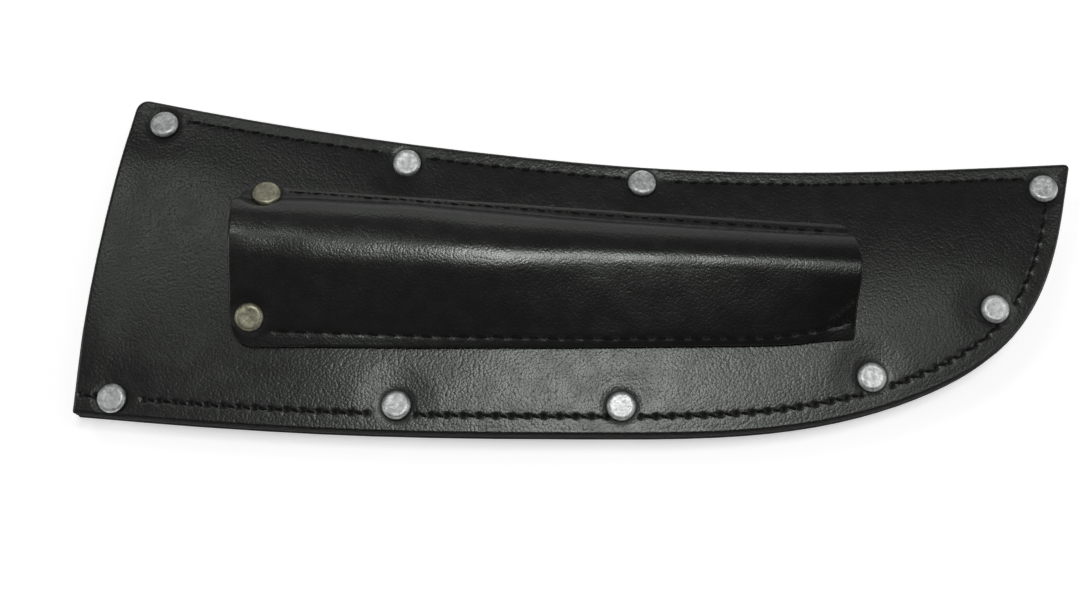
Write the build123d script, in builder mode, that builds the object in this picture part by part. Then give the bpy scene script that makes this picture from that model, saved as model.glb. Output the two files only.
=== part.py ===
from build123d import *

import os

# A black leather knife sheath: two panels with welts between them, riveted and sewn round the
# edge, with a sleeve pocket on the front and a belt loop on the back.
# It lies on its back with its front up. X runs along it, from the mouth at -X to the tip at +X,
# Y runs from the belly to the spine, and Z from the belt loop up to the pocket. The origin is
# the middle of its outline, at the level that it rests on. Millimetres.

# Leather thicknesses
BACK_SKIN = 2.5
WELT_SKIN = 3.0
FRONT_SKIN = 2.5
POCKET_SKIN = 2.0
STRAP_SKIN = 2.3

# Levels, from the floor up
BELT_GAP = 4.3
CROWN_RISE = 3.4
POCKET_RISE = 9.0
BACK_Z = STRAP_SKIN + BELT_GAP
WELT_Z = BACK_Z + BACK_SKIN
FRONT_Z = WELT_Z + WELT_SKIN
FLANGE_Z = FRONT_Z + FRONT_SKIN
CROWN_Z = FLANGE_Z + CROWN_RISE
CROWN_UNDER_Z = CROWN_Z - FRONT_SKIN
POCKET_Z = CROWN_Z + POCKET_SKIN
CREST_Z = POCKET_Z + POCKET_RISE

# Outline: the spine from the mouth to the tip, the belly from the tip back to the mouth
SPINE = [(-130.2, 50.2), (-82.1, 41.0), (-23.4, 32.7), (34.8, 27.8), (93.0, 27.7), (142.5, 29.8)]
BELLY = [
    (142.5, 29.8),
    (138.6, 12.4),
    (132.7, -5.6),
    (120.7, -23.2),
    (98.0, -37.4),
    (61.9, -47.4),
    (5.2, -50.2),
    (-65.5, -49.1),
    (-142.5, -43.8),
]
MOUTH_MIDDLE = (-138.4, 1.6)
MOUTH_CORNER_R = 3.5
TIP_CORNER_R = 1.2
PANEL_EDGE_R = 0.8

# Distances in from the outline
WELT_WIDTH = 12.0
CROWN_FOOT = 8.0
CROWN_SHOULDER = 16.0
SPINE_SEAM = 4.0
BELLY_SEAM = 5.2

# How far construction lines run past the outline
PAST_MOUTH_X = -165.0
RUN_PAST_TIP = 20.0
FAR_Y = 150.0

# Rivets: domed heads on the front, posts through the leather, caps on the far side
EDGE_RIVETS = [
    (-122.0, 41.8),
    (-50.6, 29.7),
    (17.7, 23.6),
    (134.0, 22.0),
    (117.0, -14.2),
    (81.0, -33.9),
    (10.7, -42.1),
    (-52.0, -41.8),
    (-131.5, -39.8),
]
POCKET_RIVETS = [(-90.4, 19.2), (-93.1, -17.9)]
HEAD_R = 4.0
HEAD_HEIGHT = 1.3
HEAD_EDGE_R = 0.8
POST_R = 1.5
POST_HOLE_R = 1.55
EDGE_CAP = 1.0
INNER_CAP = 0.8
CAP_SOCKET = 0.4
CAP_EDGE_SHARE = 0.45
DIMPLE_R = 5.2
DIMPLE_SLOPE = CROWN_RISE

# Pocket: its flange, and the section of its sleeve at each end, as (y, z) from riser to foot
POCKET_LEFT_X = -98.8
POCKET_RIGHT_X = 76.6
POCKET_UPPER_LEFT = (POCKET_LEFT_X, 22.9)
POCKET_UPPER_RIGHT = (74.1, 10.1)
POCKET_NOTCH = (POCKET_RIGHT_X, 6.9)
POCKET_LOWER = [(POCKET_RIGHT_X, -23.4), (60.6, -25.7), (30.0, -26.3), (-40.0, -26.2)]
POCKET_LOWER_LEFT = (POCKET_LEFT_X, -25.9)
POCKET_CORNER_R = 6.5
SLEEVE_LEFT = [(12.2, POCKET_Z), (7.8, CREST_Z), (-3.0, CREST_Z), (-19.3, POCKET_Z)]
SLEEVE_RIGHT = [(4.2, POCKET_Z), (1.2, CREST_Z), (-9.0, CREST_Z), (-14.5, POCKET_Z)]
SLEEVE_RISER_R = 4.5
SLEEVE_SLOPE_R = 6.5
SLEEVE_BELOW = 5.0
SLEEVE_DIMPLE_R = 4.6
SLEEVE_DIMPLE_SLOPE = 5.2

# Seams
EDGE_PITCH = 4.45
POCKET_PITCH = 5.0
STRAP_PITCH = 4.0
THREAD = 0.6
STITCH_GAP = 0.1
STITCH_HOLE_R = 0.8
CLEAR_OF_RIVET = HEAD_R + 0.6
POCKET_UPPER_SEAM = [(-83.5, 19.9), (70.1, 8.1)]
POCKET_LOWER_SEAM = [
    (-86.2, -21.6),
    (-50.0, -22.7),
    (4.8, -23.7),
    (32.7, -23.7),
    (60.6, -22.4),
    (74.0, -19.2),
]

# Belt loop, sizes from the middle of its slot along X
LOOP_X = -34.0
LOOP_WIDTH = 38.0
CREST_HALF = 29.0
SLOT_HALF = 35.0
BEND_RUN = 5.5
LOOP_HALF = 55.0
INNER_BEND_LAG = 1.0
STRAP_STEP = 2.0
STRAP_FOLD_R = 2.05
LOOP_RIVET_X = 44.0
LOOP_RIVET_Y = 12.0
LOOP_SEAM_X = 51.0
LOOP_SEAM_HALF = 16.0

os.makedirs("parts", exist_ok=True)


def save(part, name):
    """Label a finished piece and write it."""
    part.label = name
    export_step(part, f"parts/{name}.step")


def inset(edge, distance, count=20):
    """A curve inside an edge of the outline, at a steady distance from it."""
    points = []
    for index in range(count + 1):
        along = edge % (index / count)
        points.append(edge @ (index / count) + Vector(along.Y, -along.X) * distance)
    return Spline(*points, mode=Mode.PRIVATE)


def seam(path, pitch, start=0.0, end=0.0, rivets=()):
    """The stitches along a path that leaves out its start and end: their places, turned the way
    they run, and the places of their holes. A stitch that a rivet head would cover is left out."""
    length = path.length - start - end
    count = round(length / pitch)
    stitches, holes = [], {}
    for index in range(count):
        ends = [start + length * place / count for place in (index, index + 1)]
        first, last = [path.position_at(place / path.length) for place in ends]
        middle = (first + last) / 2
        near = [(point - Vector(*rivet)).length for rivet in rivets for point in (first, middle, last)]
        if not near or min(near) > CLEAR_OF_RIVET:
            run = last - first
            stitches.append((middle.X, middle.Y, Vector(1, 0).get_signed_angle(run, Vector(0, 0, 1))))
            holes[index] = (first.X, first.Y)
            holes[index + 1] = (last.X, last.Y)
    return stitches, list(holes.values())


def thread(stitches, pitch, front_z, back_z):
    """A lockstitch seam: on each face a row of short staples, whose legs share the holes and
    meet half way through the leather."""
    half = pitch / 2 - STITCH_GAP
    depth = (front_z - back_z) / 2
    with BuildPart() as staple:
        with BuildSketch(Plane.XZ) as profile:
            with BuildLine():
                Polyline(
                    (-half, THREAD),
                    (half, THREAD),
                    (half, -depth),
                    (half - THREAD, -depth),
                    (half - THREAD, 0),
                    (THREAD - half, 0),
                    (THREAD - half, -depth),
                    (-half, -depth),
                    close=True,
                )
            make_face()
            fillet(profile.vertices().group_by(Axis.Y)[-1], THREAD / 2)
        extrude(amount=THREAD / 2, both=True)
    front = [Location((x, y, front_z), (0, 0, turn)) for x, y, turn in stitches]
    back = [Location((x, y, back_z), (180, 0, -turn)) for x, y, turn in stitches]
    with BuildPart() as row:
        with Locations(*front, *back):
            add(staple.part)
    return row.part


def rivet(x, y, head_z, grip, facing=1):
    """A rivet whose round-edged head faces +Z or -Z, with a post that runs grip deep from it."""
    with BuildPart() as piece:
        with Locations(Location((x, y, head_z + facing * HEAD_HEIGHT / 2))):
            Cylinder(HEAD_R, HEAD_HEIGHT)
        rims = piece.edges().filter_by(GeomType.CIRCLE).sort_by(Axis.Z)
        fillet(rims[-1 if facing > 0 else 0], HEAD_EDGE_R)
        with Locations(Location((x, y, head_z - facing * grip / 2))):
            Cylinder(POST_R, grip)
    return piece.part


def cap(x, y, face_z, height, facing=-1):
    """The cap on a rivet's post, with its socket against the leather at face_z."""
    with BuildPart() as piece:
        with Locations(Location((x, y, face_z + facing * height / 2))):
            Cylinder(HEAD_R, height)
        with Locations(Location((x, y, face_z + facing * CAP_SOCKET / 2))):
            Cylinder(POST_R, CAP_SOCKET, mode=Mode.SUBTRACT)
        outer = piece.edges().filter_by(GeomType.CIRCLE).group_by(SortBy.RADIUS)[-1]
        fillet(outer.sort_by(Axis.Z)[-1 if facing > 0 else 0], height * CAP_EDGE_SHARE)
    return piece.part


# The outline
with BuildLine() as edge_lines:
    spine_edge = Spline(*SPINE)
    belly_edge = Spline(*BELLY)
    mouth_edge = ThreePointArc(belly_edge @ 1, MOUTH_MIDDLE, spine_edge @ 0)

with BuildSketch() as outline:
    with BuildLine():
        add(edge_lines.line)
    make_face()
    fillet(outline.vertices().sort_by(Axis.Y)[-1], MOUTH_CORNER_R)
    fillet(outline.vertices().sort_by(Axis.X)[-1], TIP_CORNER_R)


def past_mouth(point, flow):
    """Where a line that leaves point along flow is well past the mouth."""
    return point + flow * ((PAST_MOUTH_X - point.X) / flow.X)


def inner_plan(distance):
    """The outline drawn in along the spine and the belly, meeting at the tip and open past the
    mouth."""
    upper = inset(spine_edge, distance)
    lower = inset(belly_edge, distance)
    upper_tip = upper @ 1 + (upper % 1) * RUN_PAST_TIP
    lower_tip = lower @ 0 - (lower % 0) * RUN_PAST_TIP
    upper_mouth = past_mouth(upper @ 0, upper % 0)
    lower_mouth = past_mouth(lower @ 1, lower % 1)
    with BuildSketch() as below_spine:
        with BuildLine():
            add(upper)
            Polyline(
                upper @ 1,
                upper_tip,
                (upper_tip.X, -FAR_Y),
                (PAST_MOUTH_X, -FAR_Y),
                upper_mouth,
                upper @ 0,
            )
        make_face()
    with BuildSketch() as plan:
        with BuildLine():
            add(lower)
            Polyline(
                lower @ 1,
                lower_mouth,
                (PAST_MOUTH_X, FAR_Y),
                (lower_tip.X, FAR_Y),
                lower_tip,
                lower @ 0,
            )
        make_face()
        add(below_spine.sketch, mode=Mode.INTERSECT)
    return plan.sketch


# Seam lines round the edge and along the pocket
spine_seam = inset(spine_edge, SPINE_SEAM)
belly_seam = inset(belly_edge, BELLY_SEAM)
pocket_upper_line = Line(*POCKET_UPPER_SEAM)
pocket_lower_line = Spline(*POCKET_LOWER_SEAM)
spine_stitches, spine_holes = seam(spine_seam, EDGE_PITCH, 12.0, 10.0, EDGE_RIVETS)
belly_stitches, belly_holes = seam(belly_seam, EDGE_PITCH, 14.0, 1.5, EDGE_RIVETS)
upper_stitches, upper_holes = seam(pocket_upper_line, POCKET_PITCH)
lower_stitches, lower_holes = seam(pocket_lower_line, POCKET_PITCH)
edge_holes = spine_holes + belly_holes

# Belt loop rivets and seams, at both ends of the loop
LOOP_RIVETS = [
    (LOOP_X + side * LOOP_RIVET_X, row * LOOP_RIVET_Y) for side in (-1, 1) for row in (-1, 1)
]
loop_seams = {}
for name, side in (("loop_upper", -1), ("loop_lower", 1)):
    seam_x = LOOP_X + side * LOOP_SEAM_X
    loop_seams[name] = seam(Line((seam_x, -LOOP_SEAM_HALF), (seam_x, LOOP_SEAM_HALF)), STRAP_PITCH)
loop_holes = [hole for _, holes in loop_seams.values() for hole in holes]

# Back panel
with BuildPart() as back_panel:
    with BuildSketch(Plane.XY.offset(BACK_Z)):
        add(outline.sketch)
    extrude(amount=BACK_SKIN)
    fillet(back_panel.edges().group_by(Axis.Z)[0].sort_by(SortBy.LENGTH)[-3:], PANEL_EDGE_R)
    with Locations(*EDGE_RIVETS, *LOOP_RIVETS):
        Hole(POST_HOLE_R)
    with Locations(*edge_holes, *loop_holes):
        Hole(STITCH_HOLE_R)
save(back_panel.part, "back_panel")

# Welts: a band inside the outline, mitred at the tip into a spine strip and a belly strip
blade_plan = inner_plan(WELT_WIDTH)
mitre = Vector(*blade_plan.vertices().sort_by(Axis.X)[-1])
with BuildSketch() as spine_side:
    with BuildLine():
        Polyline(
            (PAST_MOUTH_X, 0), mitre, spine_edge @ 1, (FAR_Y, FAR_Y), (PAST_MOUTH_X, FAR_Y), close=True
        )
    make_face()

for name, mode in (("spine_welt", Mode.INTERSECT), ("belly_welt", Mode.SUBTRACT)):
    with BuildPart() as welt:
        with BuildSketch(Plane.XY.offset(WELT_Z)):
            add(outline.sketch)
            add(blade_plan, mode=Mode.SUBTRACT)
            add(spine_side.sketch, mode=mode)
        extrude(amount=WELT_SKIN)
        with Locations(*EDGE_RIVETS):
            Hole(POST_HOLE_R)
        with Locations(*edge_holes):
            Hole(STITCH_HOLE_R)
    save(welt.part, name)


# Front panel: flat where it is sewn, raised over the blade space, dimpled round each rivet
def crown(base_z, dimple_r):
    """The raised part of the panel as a solid, standing on base_z and running past the mouth."""
    with BuildPart() as raised:
        with BuildSketch(Plane.XY.offset(base_z)):
            add(inner_plan(CROWN_FOOT))
        with BuildSketch(Plane.XY.offset(base_z + CROWN_RISE)):
            add(inner_plan(CROWN_SHOULDER))
        loft(ruled=True)
        with Locations(*[(x, y, base_z) for x, y in EDGE_RIVETS]):
            Cone(
                dimple_r,
                dimple_r + DIMPLE_SLOPE,
                CROWN_RISE,
                align=(Align.CENTER, Align.CENTER, Align.MIN),
                mode=Mode.SUBTRACT,
            )
    return raised.part


blade_space = crown(FRONT_Z, DIMPLE_R + FRONT_SKIN)
crown_skin = crown(FLANGE_Z, DIMPLE_R)
with BuildPart() as front_panel:
    with BuildSketch(Plane.XY.offset(FRONT_Z)):
        add(outline.sketch)
    extrude(amount=FRONT_SKIN)
    fillet(front_panel.edges().group_by(Axis.Z)[-1].sort_by(SortBy.LENGTH)[-2:], PANEL_EDGE_R)
    add(crown_skin)
    with BuildSketch(Plane.XY.offset(FRONT_Z)):
        add(outline.sketch)
    extrude(amount=FRONT_SKIN + CROWN_RISE, mode=Mode.INTERSECT)
    add(blade_space, mode=Mode.SUBTRACT)
    with Locations(*EDGE_RIVETS, *POCKET_RIVETS):
        Hole(POST_HOLE_R)
    with Locations(*edge_holes, *upper_holes, *lower_holes):
        Hole(STITCH_HOLE_R)
save(front_panel.part, "front_panel")


# Pocket: a flange with a tapering sleeve, open at both ends and closed below by the front panel
def sleeve_section(x, corners, inward):
    """The sleeve's section at x, run down below its foot, and shrunk by inward."""
    (riser_y, foot_z), (top_y, _), (slope_y, _), (foot_y, _) = corners
    rise = CREST_Z - foot_z
    drop = SLEEVE_BELOW / rise
    with BuildSketch(Plane.YZ.offset(x)) as section:
        with BuildLine():
            Polyline(
                (riser_y + (riser_y - top_y) * drop, foot_z - SLEEVE_BELOW),
                (top_y, CREST_Z),
                (slope_y, CREST_Z),
                (foot_y + (foot_y - slope_y) * drop, foot_z - SLEEVE_BELOW),
                close=True,
            )
        make_face()
        crest = section.vertices().group_by(Axis.Y)[-1].sort_by(Axis.X)
        fillet(crest[-1], SLEEVE_RISER_R)
        fillet(crest[0], SLEEVE_SLOPE_R)
        if inward:
            offset(amount=-inward, kind=Kind.INTERSECTION)
    return section.sketch


def sleeve(inward):
    """The sleeve as a solid from the left end of the pocket to the right, dimpled at the rivets."""
    with BuildPart() as body:
        add(sleeve_section(POCKET_LEFT_X, SLEEVE_LEFT, inward))
        add(sleeve_section(POCKET_RIGHT_X, SLEEVE_RIGHT, inward))
        loft(ruled=True)
        dimple_r = SLEEVE_DIMPLE_R + inward
        with Locations(*[(x, y, POCKET_Z - inward) for x, y in POCKET_RIVETS]):
            Cone(
                dimple_r,
                dimple_r + SLEEVE_DIMPLE_SLOPE,
                POCKET_RISE,
                align=(Align.CENTER, Align.CENTER, Align.MIN),
                mode=Mode.SUBTRACT,
            )
            Cylinder(
                dimple_r,
                SLEEVE_BELOW,
                align=(Align.CENTER, Align.CENTER, Align.MAX),
                mode=Mode.SUBTRACT,
            )
    return body.part


with BuildPart() as pocket:
    with BuildSketch(Plane.XY.offset(CROWN_Z)) as flange:
        with BuildLine():
            Line(POCKET_UPPER_LEFT, POCKET_UPPER_RIGHT)
            Line(POCKET_UPPER_RIGHT, POCKET_NOTCH)
            Line(POCKET_NOTCH, POCKET_LOWER[0])
            Spline(*POCKET_LOWER, POCKET_LOWER_LEFT)
            Line(POCKET_LOWER_LEFT, POCKET_UPPER_LEFT)
        make_face()
        fillet(flange.vertices().sort_by(Axis.X)[:2], POCKET_CORNER_R)
    extrude(amount=POCKET_SKIN)
    add(sleeve(0))
    split(bisect_by=Plane.XY.offset(CROWN_Z), keep=Keep.TOP)
    add(sleeve(POCKET_SKIN), mode=Mode.SUBTRACT)
    with Locations(*POCKET_RIVETS):
        Hole(POST_HOLE_R)
    with Locations(*upper_holes, *lower_holes):
        Hole(STITCH_HOLE_R)
save(pocket.part, "pocket")

# Belt loop: one strap, folded double at each end, that stands off the back panel between them
with BuildPart() as belt_loop:
    with BuildSketch(Plane.XZ.offset(-LOOP_WIDTH / 2)) as strap:
        with BuildLine():
            Polyline(
                (LOOP_X, 0),
                (LOOP_X + CREST_HALF, 0),
                (LOOP_X + CREST_HALF + BEND_RUN, STRAP_STEP),
                (LOOP_X + LOOP_HALF, STRAP_STEP),
                (LOOP_X + LOOP_HALF, BACK_Z),
                (LOOP_X + SLOT_HALF, BACK_Z),
                (LOOP_X + SLOT_HALF, STRAP_STEP + STRAP_SKIN),
                (LOOP_X + CREST_HALF + BEND_RUN - INNER_BEND_LAG, STRAP_STEP + STRAP_SKIN),
                (LOOP_X + CREST_HALF - INNER_BEND_LAG, STRAP_SKIN),
                (LOOP_X, STRAP_SKIN),
                close=True,
            )
        make_face()
        fillet(strap.vertices().sort_by(Axis.X)[-2:], STRAP_FOLD_R)
        mirror(about=Plane.YZ.offset(LOOP_X))
    extrude(amount=LOOP_WIDTH)
    with Locations(*LOOP_RIVETS):
        Hole(POST_HOLE_R)
    with Locations(*loop_holes):
        Hole(STITCH_HOLE_R)
save(belt_loop.part, "belt_loop")

# Threads
save(thread(spine_stitches, EDGE_PITCH, FLANGE_Z, BACK_Z), "spine_thread")
save(thread(belly_stitches, EDGE_PITCH, FLANGE_Z, BACK_Z), "belly_thread")
save(thread(upper_stitches, POCKET_PITCH, POCKET_Z, CROWN_UNDER_Z), "pocket_upper_thread")
save(thread(lower_stitches, POCKET_PITCH, POCKET_Z, CROWN_UNDER_Z), "pocket_lower_thread")
for name, (stitches, _) in loop_seams.items():
    save(thread(stitches, STRAP_PITCH, WELT_Z, STRAP_STEP), f"{name}_thread")

# Rivets and their caps
for number, (x, y) in enumerate(EDGE_RIVETS, 1):
    grip = FLANGE_Z - BACK_Z + CAP_SOCKET
    save(rivet(x, y, FLANGE_Z, grip), f"edge_rivet_{number}")
    save(cap(x, y, BACK_Z, EDGE_CAP), f"edge_rivet_cap_{number}")

for number, (x, y) in enumerate(POCKET_RIVETS, 1):
    grip = POCKET_Z - CROWN_UNDER_Z + CAP_SOCKET
    save(rivet(x, y, POCKET_Z, grip), f"pocket_rivet_{number}")
    save(cap(x, y, CROWN_UNDER_Z, INNER_CAP), f"pocket_rivet_cap_{number}")

for number, (x, y) in enumerate(LOOP_RIVETS, 1):
    grip = WELT_Z - STRAP_STEP + CAP_SOCKET
    save(rivet(x, y, STRAP_STEP, grip, facing=-1), f"loop_rivet_{number}")
    save(cap(x, y, WELT_Z, INNER_CAP, facing=1), f"loop_rivet_cap_{number}")
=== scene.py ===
import math

import bpy
import numpy as np
from mathutils import Matrix, Vector
from mathutils.geometry import delaunay_2d_cdt
from mathutils.kdtree import KDTree


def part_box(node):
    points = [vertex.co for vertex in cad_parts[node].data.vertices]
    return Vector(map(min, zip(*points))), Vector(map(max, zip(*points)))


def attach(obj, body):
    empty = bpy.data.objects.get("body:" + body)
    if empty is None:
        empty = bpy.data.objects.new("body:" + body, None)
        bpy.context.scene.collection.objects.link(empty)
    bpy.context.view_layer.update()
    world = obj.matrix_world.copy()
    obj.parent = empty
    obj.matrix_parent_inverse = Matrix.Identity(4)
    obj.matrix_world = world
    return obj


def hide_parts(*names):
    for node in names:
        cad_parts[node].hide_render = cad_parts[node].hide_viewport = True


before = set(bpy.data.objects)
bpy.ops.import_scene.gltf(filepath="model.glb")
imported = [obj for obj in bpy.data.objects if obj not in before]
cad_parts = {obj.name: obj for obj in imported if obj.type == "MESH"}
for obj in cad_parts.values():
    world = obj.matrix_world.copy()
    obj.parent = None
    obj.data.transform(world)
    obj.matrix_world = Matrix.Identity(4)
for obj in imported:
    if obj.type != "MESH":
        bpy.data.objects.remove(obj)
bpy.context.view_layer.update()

# Shapes are worked out in millimetres, with Z up, and turned into metres when a mesh is made.
MM = 0.001

# Leather thicknesses
PANEL_SKIN = 2.5
POCKET_SKIN = 2.0
STRAP_SKIN = 2.3
# How far the outer edges of the leather are rounded
FRONT_EDGE_R = 1.0
BACK_EDGE_R = 0.9
WELT_EDGE_R = 0.7
POCKET_EDGE_R = 0.7
STRAP_EDGE_R = 0.8
# How many waves an uneven surface is the sum of
WAVE_COUNT = 7
# The spacing of the points that a distance to a line is measured from
DENSE_STEP = 0.12


# ------------------------------ reading the frame
def corners(node):
    """A node's lowest and highest corners in millimetres."""
    low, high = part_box(node)
    return np.array(low) / MM, np.array(high) / MM


def middle(node):
    """The middle of a node's box in millimetres."""
    low, high = corners(node)
    return (low + high) / 2


def merged(node):
    """A node's points, with those that share a place made one, and its triangles."""
    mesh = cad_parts[node].data
    mesh.calc_loop_triangles()
    places = np.empty(len(mesh.vertices) * 3, np.float32)
    triangles = np.empty(len(mesh.loop_triangles) * 3, np.int32)
    mesh.vertices.foreach_get("co", places)
    mesh.loop_triangles.foreach_get("vertices", triangles)
    points, index = np.unique(np.round(places.reshape(-1, 3) / MM, 3), axis=0, return_inverse=True)
    return points, index.reshape(-1)[triangles].reshape(-1, 3)


def rim_of(node, level):
    """The longest edge loop round the flat face that a node has at a level, in X and Y."""
    points, triangles = merged(node)
    flat = triangles[(np.abs(points[triangles][:, :, 2] - level) < 0.01).all(axis=1)]
    edges = {tuple(edge) for triangle in flat for edge in zip(triangle, np.roll(triangle, -1))}
    follow = {a: b for a, b in edges if (b, a) not in edges}
    loops = []
    while follow:
        start = next(iter(follow))
        loop = [start]
        while loop[-1] in follow:
            loop.append(follow.pop(loop[-1]))
        loops.append(loop[:-1])
    longest = points[max(loops, key=len)][:, :2]
    following = np.roll(longest, -1, axis=0)
    twice_area = np.sum(longest[:, 0] * following[:, 1] - longest[:, 1] * following[:, 0])
    return longest if twice_area > 0 else longest[::-1]


def resampled(loop, step, soften=0):
    """A closed loop with evenly spaced points, its corners softened a little."""
    closed = np.vstack([loop, loop[:1]])
    along = np.concatenate([[0], np.cumsum(np.linalg.norm(np.diff(closed, axis=0), axis=1))])
    at = np.linspace(0, along[-1], round(along[-1] / step), endpoint=False)
    even = np.stack([np.interp(at, along, closed[:, k]) for k in range(2)], axis=1)
    for _ in range(soften):
        even = (np.roll(even, 1, axis=0) + 2 * even + np.roll(even, -1, axis=0)) / 4
    return even


def stitches_of(node, outward=None):
    """Each stitch of a seam as its middle, the way it runs, and half its length, in X and Y."""
    points, triangles = merged(node)
    label = np.arange(len(points))
    while True:
        least = label[triangles].min(axis=1)
        new = label.copy()
        for k in range(3):
            np.minimum.at(new, triangles[:, k], least)
        if (new == label).all():
            break
        label = new
    found = []
    for number in np.unique(label):
        piece = points[label == number][:, :2]
        centre = (piece.max(axis=0) + piece.min(axis=0)) / 2
        way = np.linalg.svd(piece - piece.mean(axis=0), full_matrices=False)[2][0]
        side = np.array([way[1], -way[0]])
        away = centre if outward is None else outward
        if side @ away < 0:
            way = -way
        found.append((centre, way, np.ptp(piece @ way) / 2))
    return found


# ------------------------------ shape helpers
def smooth(value, low, high):
    """0 below low, 1 above high, with a smooth turn between."""
    t = np.clip((value - low) / (high - low), 0, 1)
    return t * t * t * (t * (6 * t - 15) + 10)


def bell(value, width):
    """1 at 0, falling away on both sides, about a third at the width."""
    return np.exp(-((value / width) ** 2))


def press(distance, depth, width):
    """How far something that lies at a distance presses the leather in."""
    return depth * bell(distance, width)


def level(height):
    """A surface that is flat at a height, as a function of places in X and Y."""
    return lambda points: np.full(len(points), float(height))


def waves(points, length, seed):
    """Smooth unevenness of a given wave length, between about -1 and 1."""
    rng = np.random.default_rng(seed)
    total = np.zeros(len(points))
    for _ in range(WAVE_COUNT):
        turn = rng.uniform(0, 2 * math.pi)
        scale = 2 * math.pi / (length * rng.uniform(0.7, 1.5))
        along_x = points[:, 0] * math.cos(turn) * scale
        along_y = points[:, 1] * math.sin(turn) * scale
        total += np.sin(along_x + along_y + rng.uniform(0, 2 * math.pi))
    return total / math.sqrt(WAVE_COUNT) / 1.5


def away_from(points, others):
    """How far each point is from the nearest of the others, in X and Y."""
    tree = KDTree(len(others))
    for index, other in enumerate(others):
        tree.insert((other[0], other[1], 0), index)
    tree.balance()
    return np.array([tree.find((p[0], p[1], 0))[2] for p in points])


def edge_drop(distance, radius):
    """How far a rounded edge has dropped at a distance in from it."""
    inside = np.clip(radius - distance, 0, radius)
    return radius - np.sqrt(radius**2 - inside**2)


def make_piece(name, points, faces, materials, face_slots, replaces, pressed=None):
    """Makes a smooth mesh piece that rides on the sheath and stands for some CAD nodes. pressed
    says how deep in a seam or a hole each point lies, from 0 to 1; the leather's material paints
    those points darker as shade, with some wax and grime."""
    used = np.zeros(len(points), bool)
    for face in faces:
        used[list(face)] = True
    number = np.cumsum(used) - 1
    mesh = bpy.data.meshes.new(name)
    places = np.asarray(points)[used] * MM
    renumbered = [number[list(face)].tolist() for face in faces]
    mesh.from_pydata(places.tolist(), [], renumbered)
    for material in materials:
        mesh.materials.append(material)
    mesh.polygons.foreach_set("material_index", np.asarray(face_slots, np.int32))
    # This attribute darkens the leather's colour: painted shade in seams, holes and round rivet
    # heads
    if pressed is not None:
        values = np.asarray(pressed, np.float32)[used]
        mesh.attributes.new("pressed", "FLOAT", "POINT").data.foreach_set("value", values)
    mesh.shade_smooth()
    mesh.update()
    piece = bpy.data.objects.new(name, mesh)
    bpy.context.scene.collection.objects.link(piece)
    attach(piece, "root")
    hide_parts(*replaces)


# ------------------------------ materials
class Nodes:
    """A small hand for building a material's node tree."""

    def __init__(self, name):
        self.material = bpy.data.materials.new(name)
        self.material.use_nodes = True
        self.tree = self.material.node_tree
        self.shader = self.tree.nodes["Principled BSDF"]
        self.place = self.node("ShaderNodeTexCoord").outputs["Object"]

    def node(self, kind, inputs=None, **settings):
        made = self.tree.nodes.new(kind)
        for key, value in settings.items():
            setattr(made, key, value)
        for key, value in (inputs or {}).items():
            self.put(made.inputs[key], value)
        return made

    def put(self, socket, value):
        if isinstance(value, bpy.types.NodeSocket):
            self.tree.links.new(value, socket)
        else:
            socket.default_value = value

    def noise(self, size, detail=3.0, place=None, rough=0.55):
        """Noise whose features are about size millimetres across, from 0 to 1."""
        inputs = {"Vector": place or self.place, "Scale": 1 / (size * MM), "Detail": detail}
        inputs["Roughness"] = rough
        return self.node("ShaderNodeTexNoise", inputs).outputs["Fac"]

    def maths(self, operation, a, b):
        return self.node("ShaderNodeMath", {0: a, 1: b}, operation=operation).outputs[0]

    def vectors(self, operation, inputs):
        return self.node("ShaderNodeVectorMath", inputs, operation=operation).outputs[0]

    def spread(self, value, low, high, to_low=0.0, to_high=1.0):
        """value taken from low..high to to_low..to_high, clamped."""
        inputs = {"Value": value, "From Min": low, "From Max": high}
        inputs.update({"To Min": to_low, "To Max": to_high})
        return self.node("ShaderNodeMapRange", inputs).outputs["Result"]

    def mix(self, share, one, other):
        """The colour one where share is 0 and other where it is 1."""
        return self.node("ShaderNodeMix", {0: share, 6: one, 7: other}, data_type="RGBA").outputs[2]

    def shaken(self, size, amount):
        """The place, shaken by noise, so that cells drawn from it lose their straight sides."""
        inputs = {"Vector": self.place, "Scale": 1 / (size * MM), "Detail": 2.0}
        colour = self.node("ShaderNodeTexNoise", inputs).outputs["Color"]
        offset = self.vectors("SUBTRACT", {0: colour, 1: (0.5, 0.5, 0.5)})
        scaled = self.vectors("SCALE", {0: offset, "Scale": amount * MM})
        return self.vectors("ADD", {0: self.place, 1: scaled})

    def bump(self, height, distance, normal=None):
        """A bumped normal: height 0 to 1 stands for distance in millimetres."""
        inputs = {"Height": height, "Distance": distance * MM, "Strength": 1.0}
        if normal is not None:
            inputs["Normal"] = normal
        return self.node("ShaderNodeBump", inputs).outputs["Normal"]

    def finish(self, **values):
        """Sets the shader's inputs, with _ for a space in a name."""
        for key, value in values.items():
            self.put(self.shader.inputs[key.replace("_", " ")], value)
        return self.material


def shade(value, tint=(1.0, 1.0, 1.0)):
    """A grey of a linear value, slightly tinted."""
    return (value * tint[0], value * tint[1], value * tint[2], 1.0)


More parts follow.
